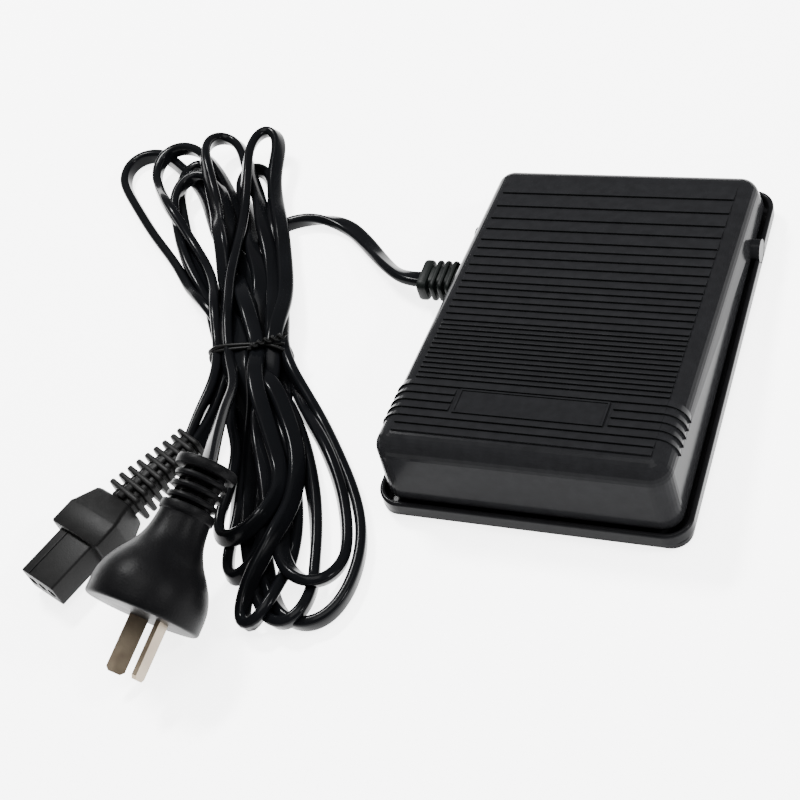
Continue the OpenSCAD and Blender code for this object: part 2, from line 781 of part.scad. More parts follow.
module connector_body() {
    collar_x = nose_l;
    color("#232323") at_connector() difference() {
        union() {
            bar(0, collar_x + 1, nose_w, nose_h);
            bar(collar_x, collar_x + collar_l, collar_w, collar_h);
            tapered_bar(collar_x + collar_l - eps, collar_x + collar_l + taper_l,
                        collar_w, 17, collar_h, 11.5);
        }
        for (k = [-1:1])
            translate([-1, contact_pitch * k, 0]) rotate([0, 90, 0]) cylinder(h = 15, r = contact_r + 0.4);
        block([-1, nose_w / 2 - 4.6, nose_h / 2 - 0.4], [collar_x, nose_w / 2 - 4.2, nose_h / 2 + 1]);
    }
}

module connector_contacts() {
    color("gold") at_connector() for (k = [-1:1])
        translate([1.5, contact_pitch * k, 0]) rotate([0, 90, 0]) difference() {
            cylinder(h = 12.5, r = contact_r + 0.4);
            translate([0, 0, -1]) cylinder(h = 12.5, r = contact_r);
        }
}

// Ribbed tail: a core with two spines, and ribs that grow smaller towards the lead
module connector_strain_relief() {
    x0 = nose_l + collar_l + taper_l;
    pitch = 3.7;
    rib_x = relief_l - 4.7 - pitch * (relief_ribs - 1);
    color("#1e1e1e") at_connector() difference() {
      translate([x0, relief_shift, 1]) rotate([0, 0, relief_angle]) {
        tapered_bar(-3, relief_l, 11.4, 8.6, 7, 6.4);
        tapered_bar(-3, relief_l, 4.6, 3.8, 10.6, 8.4);
        for (k = [0:relief_ribs - 1]) let (t = k / (relief_ribs - 1))
            bar(rib_x + pitch * k, rib_x + pitch * k + 2, 17 - 4.4 * t, 11.4 - 2.2 * t);
      }
      block([x0 - 9, -14, -9], [x0, 14, 9]);
    }
}

// Mains plug: built along Z from its face towards the lead
module at_plug() {
    translate(plug_at) rotate([0, 90 - plug_el, plug_az]) children();
}

module plug_body() {
    color("#1b1b1b") at_plug() difference() {
        rotate_extrude() polygon([[0, 0], [plug_r - 0.8, 0], [plug_r, 0.8], [plug_r, 5.4],
                                  [plug_r - 0.5, 8.6], [plug_r - 2, 13], [plug_r - 4.4, 17.2],
                                  [plug_r - 7.2, 21.2], [plug_r - 9.2, 25.4], [plug_r - 10.3, 30],
                                  [8.6, 34], [8.6, 37], [0, 37]]);
        for (a = blade_angles) rotate([0, 0, a]) translate([plug_ring, 0, 6])
            cube([blade_t, blade_w, 14], center = true);
    }
}

module plug_blades() {
    color("#b9a88c") at_plug() for (a = blade_angles) rotate([0, 0, a])
        translate([plug_ring, 0, (10 - blade_l) / 2]) difference() {
            cube([blade_t, blade_w, 10 + blade_l], center = true);
            for (s = [-1, 1]) translate([0, s * blade_w / 2, -(10 + blade_l) / 2]) rotate([45, 0, 0])
                cube([3, 1.6, 1.6], center = true);
        }
}

module plug_strain_relief() {
    color("#1b1b1b") at_plug() {
        translate([0, 0, 37]) cylinder(h = 14, r = 5.6);
        for (k = [0:2]) translate([0, 0, 38.2 + 3.6 * k]) cylinder(h = 2, r = 8.4);
        translate([0, 0, 48.4]) cylinder(h = 3.4, r1 = 10.2, r2 = 9.6);
        translate([0, 0, 37]) linear_extrude(12) square([4.4, 15], center = true);
    }
}

base_tray();
rubber_feet();
hinge_pins();
treadle_cover();
return_springs();
circuit_board();
board_screws();
slider_housing();
resistance_track();
speed_slider();
slider_spring();
triac();
heat_sink();
heat_sink_screw();
choke_core();
choke_winding();
film_capacitor();
timing_capacitors();
resistors();
trim_potentiometer();
diac();
terminal_block();
terminal_screws();
cord_clamp();
clamp_screws();
core_wires();
cord_gland();
pedal_lead();
hank();
twist_tie();
connector_lead_a();
connector_lead_b();
plug_lead();
connector_body();
connector_strain_relief();
connector_contacts();
plug_body();
plug_strain_relief();
plug_blades();
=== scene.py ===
import bpy
import json
import math
import numpy as np
from mathutils import Matrix, Vector
from mathutils.geometry import tessellate_polygon


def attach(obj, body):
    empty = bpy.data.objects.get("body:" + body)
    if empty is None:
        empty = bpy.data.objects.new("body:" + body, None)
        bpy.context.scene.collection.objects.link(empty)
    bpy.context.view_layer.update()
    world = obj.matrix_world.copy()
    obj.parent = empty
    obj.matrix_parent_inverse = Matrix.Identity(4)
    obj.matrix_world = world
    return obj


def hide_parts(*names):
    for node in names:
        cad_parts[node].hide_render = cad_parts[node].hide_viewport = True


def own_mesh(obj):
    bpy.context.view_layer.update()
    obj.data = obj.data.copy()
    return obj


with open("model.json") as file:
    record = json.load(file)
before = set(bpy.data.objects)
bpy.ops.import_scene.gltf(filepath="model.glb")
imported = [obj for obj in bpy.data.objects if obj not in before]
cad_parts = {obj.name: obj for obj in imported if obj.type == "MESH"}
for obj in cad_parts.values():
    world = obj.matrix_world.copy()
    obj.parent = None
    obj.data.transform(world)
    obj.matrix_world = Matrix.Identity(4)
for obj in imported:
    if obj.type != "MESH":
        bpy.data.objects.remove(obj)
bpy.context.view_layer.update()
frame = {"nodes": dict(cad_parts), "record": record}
MM = 0.001


def V(*a):
    return np.array(a, float)


def unit(v):
    return v / np.linalg.norm(v)


# ---------------------------------------------------------------- camera
AZ, EL, ROLL = math.radians(36.01), math.radians(47.04), math.radians(-22.67)
CAMERA_AT = (150.93, -318.36, 387.16)
back = V(math.sin(AZ) * math.cos(EL), -math.cos(AZ) * math.cos(EL), math.sin(EL))
level = V(math.cos(AZ), math.sin(AZ), 0)
above = np.cross(back, level)
right = level * math.cos(ROLL) + above * math.sin(ROLL)
up = above * math.cos(ROLL) - level * math.sin(ROLL)
camera = bpy.data.objects.new("camera", bpy.data.cameras.new("camera"))
bpy.context.scene.collection.objects.link(camera)
camera.data.lens, camera.data.sensor_width = 68.2, 36
camera.data.clip_start, camera.data.clip_end = 0.01, 20
camera.matrix_world = Matrix([[right[i], up[i], back[i], p * MM] for i, p in enumerate(CAMERA_AT)]
                             + [[0, 0, 0, 1]])
bpy.context.scene.camera = camera


# ---------------------------------------------------------------- materials
def material(name, color, rough, bump=0.0, scale=900, spec=0.5, metal=0.0, mottle=0.12, rough_var=0.08,
             second=None):
    """Colour and roughness vary with a coarse noise; a fine noise gives the bump."""
    look = bpy.data.materials.new("look_" + name)
    look.use_nodes = True
    look["slot"] = name
    tree = look.node_tree
    surface = tree.nodes["Principled BSDF"]
    spot = tree.nodes.new("ShaderNodeTexCoord")
    coarse = tree.nodes.new("ShaderNodeTexNoise")
    coarse.inputs["Scale"].default_value = scale * 0.12
    coarse.inputs["Detail"].default_value = 5
    tree.links.new(spot.outputs["Object"], coarse.inputs["Vector"])
    ramp = tree.nodes.new("ShaderNodeValToRGB")
    dark, light = ramp.color_ramp.elements
    dark.position, light.position = 0.3, 0.7
    dark.color = [c * (1 - mottle) for c in color] + [1]
    light.color = [min(1, c * (1 + mottle)) for c in (second or color)] + [1]
    tree.links.new(coarse.outputs["Fac"], ramp.inputs["Fac"])
    tree.links.new(ramp.outputs["Color"], surface.inputs["Base Color"])
    spread = tree.nodes.new("ShaderNodeMapRange")
    spread.inputs["To Min"].default_value = rough - rough_var
    spread.inputs["To Max"].default_value = rough + rough_var
    tree.links.new(coarse.outputs["Fac"], spread.inputs["Value"])
    tree.links.new(spread.outputs["Result"], surface.inputs["Roughness"])
    surface.inputs["Metallic"].default_value = metal
    surface.inputs["Specular IOR Level"].default_value = spec
    if bump:
        fine = tree.nodes.new("ShaderNodeTexNoise")
        fine.inputs["Scale"].default_value = scale
        fine.inputs["Detail"].default_value = 3
        tree.links.new(spot.outputs["Object"], fine.inputs["Vector"])
        relief_node = tree.nodes.new("ShaderNodeBump")
        relief_node.inputs["Strength"].default_value = bump
        relief_node.inputs["Distance"].default_value = 0.0002
        tree.links.new(fine.outputs["Fac"], relief_node.inputs["Height"])
        tree.links.new(relief_node.outputs["Normal"], surface.inputs["Normal"])
    return look


material("cover_black", (0.0082, 0.0083, 0.009), 0.15, 0.03, 2600, spec=0.016, rough_var=0.03)
material("base_black", (0.006, 0.006, 0.0065), 0.15, 0.03, 2600, spec=0.02, rough_var=0.03)
LEAD = material("lead_black", (0.0026, 0.0028, 0.0033), 0.17, 0.02, 700, spec=0.035, rough_var=0.03)
CONNECTOR = material("connector_black", (0.0058, 0.0058, 0.0058), 0.42, 0.3, 2200, spec=0.05)
PLUG = material("plug_black", (0.0026, 0.0026, 0.0029), 0.4, 0.35, 1500, spec=0.035)
GLAND = material("gland_rubber", (0.0032, 0.0042, 0.0038), 0.45, 0.2, 2000, spec=0.07)
TIE = material("tie_black", (0.002, 0.002, 0.002), 0.42, 0.2, 1600, spec=0.08)
material("foot_rubber", (0.03, 0.03, 0.03), 0.75, 0.3, 1800)
material("pin_steel", (0.6, 0.6, 0.62), 0.28, 0.05, 1500, metal=1)
SPRING = material("spring_steel", (0.5, 0.51, 0.53), 0.3, 0.05, 1500, metal=1)
material("screw_steel", (0.62, 0.62, 0.64), 0.3, 0.08, 1500, metal=1)
material("blade_brass", (0.2, 0.155, 0.11), 0.34, 0.1, 700, metal=1, mottle=0.25,
         second=(0.2, 0.165, 0.12))
material("contact_brass", (0.75, 0.58, 0.28), 0.25, 0.05, 1500, metal=1)
material("board_laminate", (0.45, 0.3, 0.12), 0.5, 0.2, 900, mottle=0.25)
material("housing_grey", (0.12, 0.13, 0.14), 0.5, 0.15, 2000)
material("track_carbon", (0.03, 0.035, 0.04), 0.6, 0.2, 2000)
material("slider_ivory", (0.75, 0.7, 0.56), 0.35, 0.05, 1500)
material("device_black", (0.03, 0.03, 0.03), 0.55, 0.2, 2200)
material("sink_aluminium", (0.76, 0.77, 0.79), 0.32, 0.1, 1400, metal=1)
material("ferrite", (0.1, 0.12, 0.09), 0.6, 0.3, 2000)
material("winding_copper", (0.55, 0.2, 0.08), 0.3, 0.1, 2000, metal=1)
material("capacitor_red", (0.35, 0.07, 0.04), 0.3, 0.1, 1200)
material("capacitor_blue", (0.06, 0.2, 0.36), 0.3, 0.1, 1200)
material("resistor_beige", (0.58, 0.46, 0.28), 0.35, 0.1, 1200)
material("trimmer_blue", (0.06, 0.16, 0.45), 0.4, 0.1, 1200)
material("terminal_cream", (0.68, 0.64, 0.52), 0.5, 0.15, 1500)
material("clamp_grey", (0.45, 0.45, 0.43), 0.55, 0.15, 1500)
material("core_brown", (0.16, 0.06, 0.03), 0.35, 0.05, 900)

# Every CAD node takes the material of its slot
BY_SLOT = {m["slot"]: m for m in bpy.data.materials if "slot" in m}
for sub in frame["record"]["subparts"]:
    mesh = frame["nodes"][sub["node"]].data
    mesh.materials.clear()
    mesh.materials.append(BY_SLOT[sub["material_slot"]])
    mesh.shade_smooth()
    mesh.set_sharp_from_angle(angle=math.radians(32))


# ---------------------------------------------------------------- mesh helpers
def piece(name, verts, faces, mat, smooth, body="base"):
    """A mesh object in metres that rides on a body; edges sharper than the smooth angle stay crisp."""
    me = bpy.data.meshes.new(name)
    me.from_pydata([tuple(v) for v in verts], [], faces)
    me.validate()
    me.materials.append(mat)
    me.shade_smooth()
    me.set_sharp_from_angle(angle=math.radians(smooth))
    o = bpy.data.objects.new(name, me)
    bpy.context.scene.collection.objects.link(o)
    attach(o, body)
    return o


def tube(rings, closed=False):
    """Vertices and quads that join rings of equal size, with flat ends."""
    n, count = len(rings[0]), len(rings)
    verts = [p for ring in rings for p in ring]
    faces = []
    for i in range(count if closed else count - 1):
        j = (i + 1) % count
        for k in range(n):
            m = (k + 1) % n
            faces.append((i * n + k, i * n + m, j * n + m, j * n + k))
    if not closed:
        faces += [tuple(range(n))[::-1], tuple((count - 1) * n + k for k in range(n))]
    return verts, faces


# ---------------------------------------------------------------- leads
# The lead's width, thickness and the radius of its rounded edges
LEAD_W, LEAD_T, LEAD_R = 6.0, 3.7, 1.3
# The spacing of points while the strands settle, and along the finished lead
COARSE, FINE = 4.0, 1.5
# How firmly a point keeps its place: at the tie and the free runs, at a loop's end, and along its sides
FIRM, TIP_HOLD, SIDE_HOLD = 1.0, 0.4, 0.15
tie = V(-121, -19)
across = V(math.cos(math.radians(10.5)), math.sin(math.radians(10.5)))
# The places of the fifteen strands at the tie: how far across, how high, how far each stands on edge
SLOTS = {"A1": (-12.6, 3.2, 82), "A2": (-12.6, 9.4, 74), "B1": (-8.7, 4.4, 82), "B2": (-8.2, 10.6, 50),
         "C1": (-3.6, 2.1, 14), "C2": (-3.8, 6, 12), "C3": (-2.4, 9.9, 10),
         "D1": (2.5, 2.1, 12), "D2": (2.4, 6, 10), "D3": (3.7, 9.9, 12),
         "E1": (8.6, 2.2, 14), "E2": (8.5, 6, 14), "E3": (9.8, 9.8, 20),
         "F1": (13.4, 3.2, 78), "F2": (13.8, 9.1, 70)}
# Each loop from the tie along its left side, round its end and back; then how far its end stands on edge
LOOPS = {
    "one": ([(-154, 8, 6), (-173, 25, 5), (-193, 42, 4), (-209, 58, 3.5), (-221, 71, 3.2), (-225, 80, 3.2),
             (-224, 87, 3.2), (-217, 90, 3.2), (-207, 87, 3.2), (-194, 78, 3.5), (-180, 66, 4),
             (-168, 53, 5), (-157, 40, 6), (-138, 14, 6)], 85),
    "two": ([(-153, 16, 9), (-167, 31, 9), (-180, 44, 9), (-193, 58, 9), (-204, 71, 8.7), (-208, 80, 8.7),
             (-206, 87, 8.7), (-200, 90, 8.7), (-192, 87, 8.4), (-182, 80, 7.6), (-171, 68, 6), (-158, 50, 5),
             (-144, 26, 4)], 80),
    "three": ([(-140, 2, 6), (-158, 18, 4), (-175, 36, 3), (-187, 57, 3), (-194, 72, 3), (-196, 81, 3),
               (-193, 86, 3), (-187, 84, 3), (-180, 74, 3.5), (-166, 54, 4), (-148, 28, 6)], 80),
    "four": ([(-143, -2, 4), (-160, 16, 6), (-174, 34, 7), (-186, 52, 8), (-190, 64, 8), (-188, 72, 8),
              (-181, 74, 8), (-173, 66, 8), (-160, 46, 7), (-145, 22, 6)], 75),
    "five": ([(-141, 15, 8), (-156, 39, 8), (-168, 57, 9), (-179, 75, 10), (-185, 86, 10.5), (-185, 94, 11),
              (-180, 97, 11), (-173, 92, 11), (-166, 82, 11), (-155, 67, 10.5), (-145, 52, 10),
              (-134, 33, 9.5), (-124, 12, 8)], 66),
    "six": ([(-136, -1, 12), (-143, 17, 12.5), (-149, 36, 13), (-155, 56, 13.5), (-161, 77, 14.5),
             (-164, 91, 15), (-161, 99, 15), (-155, 96, 14.6), (-152, 86, 13.5), (-149, 74, 12),
             (-144, 62, 10.5), (-136, 46, 9.5), (-126, 26, 9), (-119, 8, 9)], 58),
    "seven": ([(-129, 4, 3), (-142, 32, 4), (-154, 55, 5), (-165, 72, 5), (-168, 80, 5), (-164, 85, 5),
               (-158, 82, 5), (-153, 73, 5), (-143, 54, 5), (-129, 28, 4)], 80),
    "a": ([(-121, -36, 6), (-110, -56, 8), (-106, -68, 8), (-104, -82, 8), (-104, -91, 8), (-100, -98, 8),
           (-91, -96, 8), (-86, -86, 8.6), (-87, -72, 9.4), (-95, -57, 9.6), (-105, -44, 9.4)], 68),
    "b": ([(-113, -42, 6), (-105, -66, 4.5), (-100, -85, 4), (-97, -97, 3.5), (-96, -105, 3.2),
           (-92, -110, 3), (-86, -110, 3), (-84, -104, 3.2), (-86, -94, 4), (-91, -78, 5),
           (-104, -50, 6)], 82),
    "c": ([(-104, -34, 9.4), (-97, -44, 10.4), (-88, -57, 10.6), (-82, -72, 10.5), (-79, -86, 9.4),
           (-80, -100, 7.8), (-82, -110, 6.4), (-83, -119, 5), (-81, -126, 4), (-76.5, -128, 3.6),
           (-74.5, -122, 3.4), (-74, -112, 3.8), (-76, -98, 4.6), (-84, -76, 5), (-97, -54, 5.4)], 74),
    "d": ([(-110, -42, 4), (-100, -70, 3.2), (-88, -98, 3), (-76, -116, 3), (-70, -123, 3), (-64, -124, 3.2),
           (-61, -118, 3.8), (-63, -109, 5), (-66, -97, 6.4), (-71, -83, 7.4), (-78, -69, 8), (-88, -53, 8),
           (-100, -38, 7)], 76),
    "e": ([(-105, -48, 3), (-92, -82, 3), (-80, -106, 3.6), (-71, -116, 3), (-63, -121, 3), (-56, -118, 3),
           (-52, -110, 3), (-51, -99, 3.2), (-53, -87, 3.6), (-60, -73, 4.4), (-72, -58, 5.2),
           (-90, -38, 5.4)], 82),
    "f": ([(-98, -50, 4), (-86, -76, 6.5), (-76, -97, 7.5), (-69, -107, 7.4), (-62, -110, 7),
           (-57, -105, 6.8), (-56, -96, 6.8), (-59, -85, 7), (-65, -72, 7.4), (-74, -58, 8), (-85, -44, 7.6),
           (-98, -30, 5.5)], 66),
}
pedal_route = [(-66, 22, 9.1), (-73, 23, 8.6), (-80, 27, 7.2), (-88, 34, 5.4), (-98, 43.5, 3.9),
               (-108, 51.5, 3), (-118, 55.5, 2.8), (-128, 55.5, 2.8), (-138, 51, 3)]
connector_route_a = [(-131, -21.5, 8.6), (-129, -34.5, 9.5), (-129, -47, 9.5), (-129, -58.8, 8.5)]
connector_route_b = [(-128.8, -25, 5.6), (-126, -38, 5.8), (-124.5, -50, 7), (-124.3, -61.6, 8.5)]
plug_route = [(-123.5, -24, 9.6), (-118.5, -37, 13.4), (-112.5, -53, 20), (-106, -69.5, 26.5),
              (-99.7, -84.9, 31.9)]


def smooth(points, step):
    """A centripetal spline through the points, with even spacing."""
    parts = 24
    p = np.array(points, float)
    p = np.vstack([2 * p[0] - p[1], p, 2 * p[-1] - p[-2]])
    dense = []
    for i in range(1, len(p) - 2):
        a, b, c, d = p[i - 1:i + 3]
        t = [0.0]
        for q, s in ((a, b), (b, c), (c, d)):
            t.append(t[-1] + max(np.linalg.norm((s - q)[:3]), 1e-3) ** 0.5)
        for k in range(parts):
            x = t[1] + (t[2] - t[1]) * k / parts
            l1 = a + (b - a) * (x - t[0]) / (t[1] - t[0])
            l2 = b + (c - b) * (x - t[1]) / (t[2] - t[1])
            l3 = c + (d - c) * (x - t[2]) / (t[3] - t[2])
            m1 = l1 + (l2 - l1) * (x - t[0]) / (t[2] - t[0])
            m2 = l2 + (l3 - l2) * (x - t[1]) / (t[3] - t[1])
            dense.append(m1 + (m2 - m1) * (x - t[1]) / (t[2] - t[1]))
    dense.append(p[-2])
    return even(np.array(dense), step)


def even(p, step):
    """The same line with its points evenly spaced, about one step apart."""
    d = np.r_[0, np.cumsum(np.linalg.norm(np.diff(p[:, :3], axis=0), axis=1))]
    s = np.linspace(0, d[-1], max(3, int(round(d[-1] / step)) + 1))
    return np.stack([np.interp(s, d, p[:, k]) for k in range(p.shape[1])], 1)


def thread(plan, head, tail, head_lean, tail_lean):
    """Runs a lead through the tie and its loops, each loop as listed (+) or backwards (-). Each point has
    a fourth value, how far the lead stands on edge, and a fifth, how firmly the point is held."""
    pts = [[*p, l, FIRM] for p, l in zip(head, head_lean)]
    for i, item in enumerate(plan):
        if i % 2 == 0:
            x, z, lean = SLOTS[item]
            p = tie + across * x
            pts.append([p[0], p[1], z, lean, FIRM])
            continue
        loop, tip = LOOPS[item[1:]]
        before, after = SLOTS[plan[i - 1]][2], SLOTS[plan[i + 1]][2]
        if item[0] == "-":
            loop = loop[::-1]
        n = len(loop)
        for k, p in enumerate(loop):
            t = (k + 1) / (n + 1)
            side = before if t < 0.5 else after
            w = max(0.0, min(1.0, (0.5 - abs(t - 0.5)) / 0.42))
            w = w * w * (3 - 2 * w)
            pts.append([*p, side + (tip - side) * w, TIP_HOLD if 0.3 < t < 0.7 else SIDE_HOLD])
    pts += [[*p, l, FIRM] for p, l in zip(tail, tail_lean)]
    return smooth(pts, COARSE)


plan_a = ["F1", "-f", "E1", "+seven", "F2", "-e", "E2", "-five", "D1", "-d", "C1", "-two", "A2"]
plan_b = ["B1", "+one", "D2", "-c", "C2", "-four", "A1", "+a", "D3", "-three", "C3", "+b", "E3", "-six", "B2"]
enter = [(-143, 42, 3), (-140, 28, 3), (-127, 8, 2.8), (-117, -6, 2.8)]
line_a = thread(plan_a, pedal_route + enter, connector_route_a[1:],
                [0, 20, 42, 36, 10, 0, 35, 70, 82, 80, 80, 80, 80], [76, 66, 55])
line_b = thread(plan_b, connector_route_b[::-1][:-1], plug_route[1:], [60, 70, 80], [60, 52, 40, 20])


def level_out(p):
    """How far each point is from the smooth curve of its four neighbours, which doesn't shrink a bend."""
    lap = np.zeros_like(p)
    lap[2:-2] = (-p[:-4] + 4 * p[1:-3] + 4 * p[3:-1] - p[4:]) / 6 - p[2:-2]
    return lap


def ease(q, low):
    """Opens the bends tighter than the least radius, and keeps the strand off the floor."""
    least = 4.5
    for _ in range(50):
        a, b, c = q[:-4], q[2:-2], q[4:]
        u, v = b - a, c - b
        spans = np.linalg.norm(u, axis=1) * np.linalg.norm(v, axis=1)
        turn = np.linalg.norm(np.cross(u, v), axis=1) / spans
        bend = np.linalg.norm(c - a, axis=1) / 2 / np.maximum(2 * turn, 1e-6)
        weight = np.zeros(len(q))
        for k in np.nonzero((bend < least) | (np.einsum("ij,ij->i", u, v) < 0))[0]:
            weight[max(k - 1, 2):k + 6] = 0.5
        weight[:3] = weight[-3:] = 0
        if not weight.any():
            break
        q = q + level_out(q) * weight[:, None]
        q[2:-2, 2] = np.maximum(q[2:-2, 2], low[2:-2])
    return q


def relax(lines, rounds):
    """Settles the strands: keeps their lengths, pushes apart what touches, and keeps them off the floor."""
    gap, farthest, sink = 0.1, 1.2, 0.04
    sizes = [len(l) for l in lines]
    p = np.vstack([l[:, :3] for l in lines])
    lean = np.radians(np.concatenate([l[:, 3] for l in lines]))
    hold = np.concatenate([l[:, 4] for l in lines])
    home = p.copy()
    starts = np.r_[0, np.cumsum(sizes)]
    idx = np.arange(len(p))
    strand = np.repeat(np.arange(len(lines)), sizes)
    link = np.array([i for i in range(len(p) - 1) if strand[i] == strand[i + 1]])
    rest = np.linalg.norm(p[link + 1] - p[link], axis=1)
    flats = (LEAD_T / 2 - LEAD_R) * np.cos(lean) + (LEAD_W / 2 - LEAD_R) * np.sin(lean)
    half_h = flats + (LEAD_R + 0.05)
    fixed = hold > 0.93
    same = (strand[:, None] == strand[None, :]) & (np.abs(idx[:, None] - idx[None, :]) <= 5)
    on_edge = np.abs(np.sin(lean))
    wide = LEAD_T * on_edge + LEAD_W * (1 - on_edge) + gap
    tall = LEAD_W * on_edge + LEAD_T * (1 - on_edge) + gap
    sx = (wide[:, None] + wide[None, :]) / 2
    sz = (tall[:, None] + tall[None, :]) / 2
    for _ in range(rounds):
        d = p[:, None, :] - p[None, :, :]
        q = np.sqrt((d[..., 0] / sx) ** 2 + (d[..., 1] / sx) ** 2 + (d[..., 2] / sz) ** 2)
        hit = (q < 1) & ~same
        push = np.where(hit, (1 - q) / np.maximum(q, 0.15), 0)[..., None] * d
        push[..., 2] *= 1.5
        move = push.sum(1) / np.maximum(1, hit.sum(1))[:, None] * 0.5
        size = np.linalg.norm(move, axis=1)[:, None]
        move *= np.minimum(1, farthest / np.maximum(size, 1e-6))
        for _ in range(2):
            near = move.copy()
            near[1:-1] = (move[:-2] + 2 * move[1:-1] + move[2:]) / 4
            move = near
        move[fixed] *= 0.15
        p += move
        p[:, 2] -= np.where(fixed, 0, sink)
        p += (home - p) * (hold * 0.10)[:, None] * V(1, 1, 0.3)
        for _ in range(2):
            lap = level_out(p)
            for s in starts[1:-1]:
                lap[s - 2:s + 2] = 0
            lap[hold > 0.99] *= 0.2
            p += lap * 0.5
        for _ in range(3):
            e = p[link + 1] - p[link]
            ln = np.linalg.norm(e, axis=1)
            c = (e / ln[:, None]) * ((ln - rest) / 2)[:, None]
            shift = np.zeros_like(p)
            np.add.at(shift, link, c)
            np.add.at(shift, link + 1, -c)
            shift[fixed] = 0
            p += shift * 0.5
        p[:, 2] = np.maximum(p[:, 2], half_h)
        for s, e in zip(starts[:-1], starts[1:] - 1):
            p[s], p[e] = home[s], home[e]
            p[s + 1], p[e - 1] = home[s + 1], home[e - 1]
    out = []
    for i, l in enumerate(lines):
        q = p[starts[i]:starts[i + 1]]
        low = half_h[starts[i]:starts[i + 1]]
        q = ease(q, low)
        out.append(np.c_[q, l[:, 3]])
    return out


line_a, line_b = relax([line_a, line_b], 160)


def section():
    """The flat lead's outline: rounded, with a faint valley between its cores."""
    pts = []
    r, valley = LEAD_R, 0.14
    for cx, cy, a0 in ((1, 1, 0), (-1, 1, 90), (-1, -1, 180), (1, -1, 270)):
        for k in range(4):
            a = math.radians(a0 + 30 * k)
            pts.append((cx * (LEAD_W / 2 - r) + r * math.cos(a), cy * (LEAD_T / 2 - r) + r * math.sin(a)))
        if cx == 1 and cy == 1:
            pts.append((0, LEAD_T / 2 - valley))
        if cx == -1 and cy == -1:
            pts.append((0, -LEAD_T / 2 + valley))
    return pts


def flat_lead(name, line):
    """Sweeps the outline along the line, turned on edge as far as each point says."""
    q = smooth(line, FINE)
    c = q[:, :3]
    tangent = np.gradient(c, axis=0)
    tangent /= np.linalg.norm(tangent, axis=1)[:, None]
    lean = np.radians(q[:, 3])
    outline = section()
    rings = []
    side_before = None
    for p, t, a in zip(c, tangent, lean):
        side = unit(np.cross(V(0, 0, 1), t))
        if side_before is not None and side @ side_before < 0 and abs(t[2]) > 0.9:
            side = -side
        side_before = side
        rise = np.cross(t, side)
        w = side * math.cos(a) + rise * math.sin(a)
        h = np.cross(t, w)
        rings.append([(p + w * x + h * y) * MM for x, y in outline])
    v, f = tube(rings)
    o = piece(name, v, f, LEAD, 60)
    return o, c * MM


pedal_cord, path_a = flat_lead("pedal_cord", line_a)
mains_cord, path_b = flat_lead("mains_cord", line_b)
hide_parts("pedal_lead", "hank", "connector_lead_a")
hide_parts("connector_lead_b", "plug_lead")


# ---------------------------------------------------------------- moulded ends and the tie
def place(origin, *turns):
    m = Matrix.Translation(Vector(origin))
    for axis, angle in turns:
        m = m @ Matrix.Rotation(math.radians(angle), 4, axis)
    return m


def put(m, verts):
    return [tuple((m @ Vector(v)) * MM) for v in verts]


def lathe(profile, m, sides=72):
    """A closed solid turned around Z from (radius, height) points, whose first and last are on the axis."""
    rings = [[(r * math.cos(2 * math.pi * k / sides), r * math.sin(2 * math.pi * k / sides), z)
              for k in range(sides)] for r, z in profile[1:-1]]
    v, f = tube(rings)
    return put(m, v), f


def rounded(w, h, r, x):
    """A rounded rectangle across X, w wide in Y and h high in Z."""
    r = min(r, w / 2 - 0.01, h / 2 - 0.01)
    out = []
    for cy, cz, a0 in ((1, 1, 0), (-1, 1, 90), (-1, -1, 180), (1, -1, 270)):
        for k in range(5):
            a = math.radians(a0 + 22.5 * k)
            out.append((x, cy * (w / 2 - r) + r * math.cos(a), cz * (h / 2 - r) + r * math.sin(a)))
    return out


def loft(sections, m):
    """A solid through rounded rectangles given as (x, width, height, corner radius)."""
    v, f = tube([rounded(w, h, r, x) for x, w, h, r in sections])
    return put(m, v), f


def soft_bar(x0, x1, w, h, m, r=0.7, w1=None, h1=None, corner=1.0):
    """A bar along X with softened ends; w1 and h1 are its width and height at the far end."""
    w1, h1 = w1 or w, h1 or h
    return loft([(x0, w - 2 * r, h - 2 * r, corner * 0.6),
                 (x0 + 0.3 * r, w - 0.6 * r, h - 0.6 * r, corner * 0.9),
                 (x0 + r, w, h, corner), (x1 - r, w1, h1, corner),
                 (x1 - 0.3 * r, w1 - 0.6 * r, h1 - 0.6 * r, corner * 0.9),
                 (x1, w1 - 2 * r, h1 - 2 * r, corner * 0.6)], m)


def join(parts):
    verts, faces = [], []
    for v, f in parts:
        n = len(verts)
        verts += v
        faces += [tuple(i + n for i in face) for face in f]
    return verts, faces


PLUG_R, PLUG_EL = 19.3, 15
at_plug = place((-107.6, -134.3, PLUG_R * math.cos(math.radians(PLUG_EL))), ("Z", 80.9), ("Y", 90 - PLUG_EL))
body_line = smooth([(PLUG_R, 5.2, 0), (18.9, 8.6, 0), (17.4, 13, 0), (14.9, 17.2, 0), (12.1, 21.2, 0),
                    (10.1, 25.4, 0), (9.1, 29.6, 0), (8.7, 33.2, 0)], 0.9)
plug_face = [(0, 0), (8, 0), (17.6, 0), (18.6, 0.12), (19.1, 0.5), (PLUG_R, 1.1), (PLUG_R, 3)]
plug_neck = [(8.75, 33.6), (9.2, 34), (9.3, 34.6), (9.3, 36.2), (9.1, 36.8), (8.4, 37), (5.4, 37), (0, 37)]
plug_v, plug_f = lathe(plug_face + [(float(a), float(b)) for a, b, _ in body_line] + plug_neck, at_plug, 96)
plug_skin = piece("plug_moulding", plug_v, plug_f, PLUG, 40)
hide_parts("plug_body")


def rib(z, t, r, core):
    """The profile of one ring: its height, thickness, radius and the core's radius."""
    e = min(0.9, t / 2 - 0.05)
    return [(core, z), (r - e, z), (r - 0.3 * e, z + 0.3 * e), (r, z + e), (r, z + t - e),
            (r - 0.3 * e, z + t - 0.3 * e), (r - e, z + t), (core, z + t)]


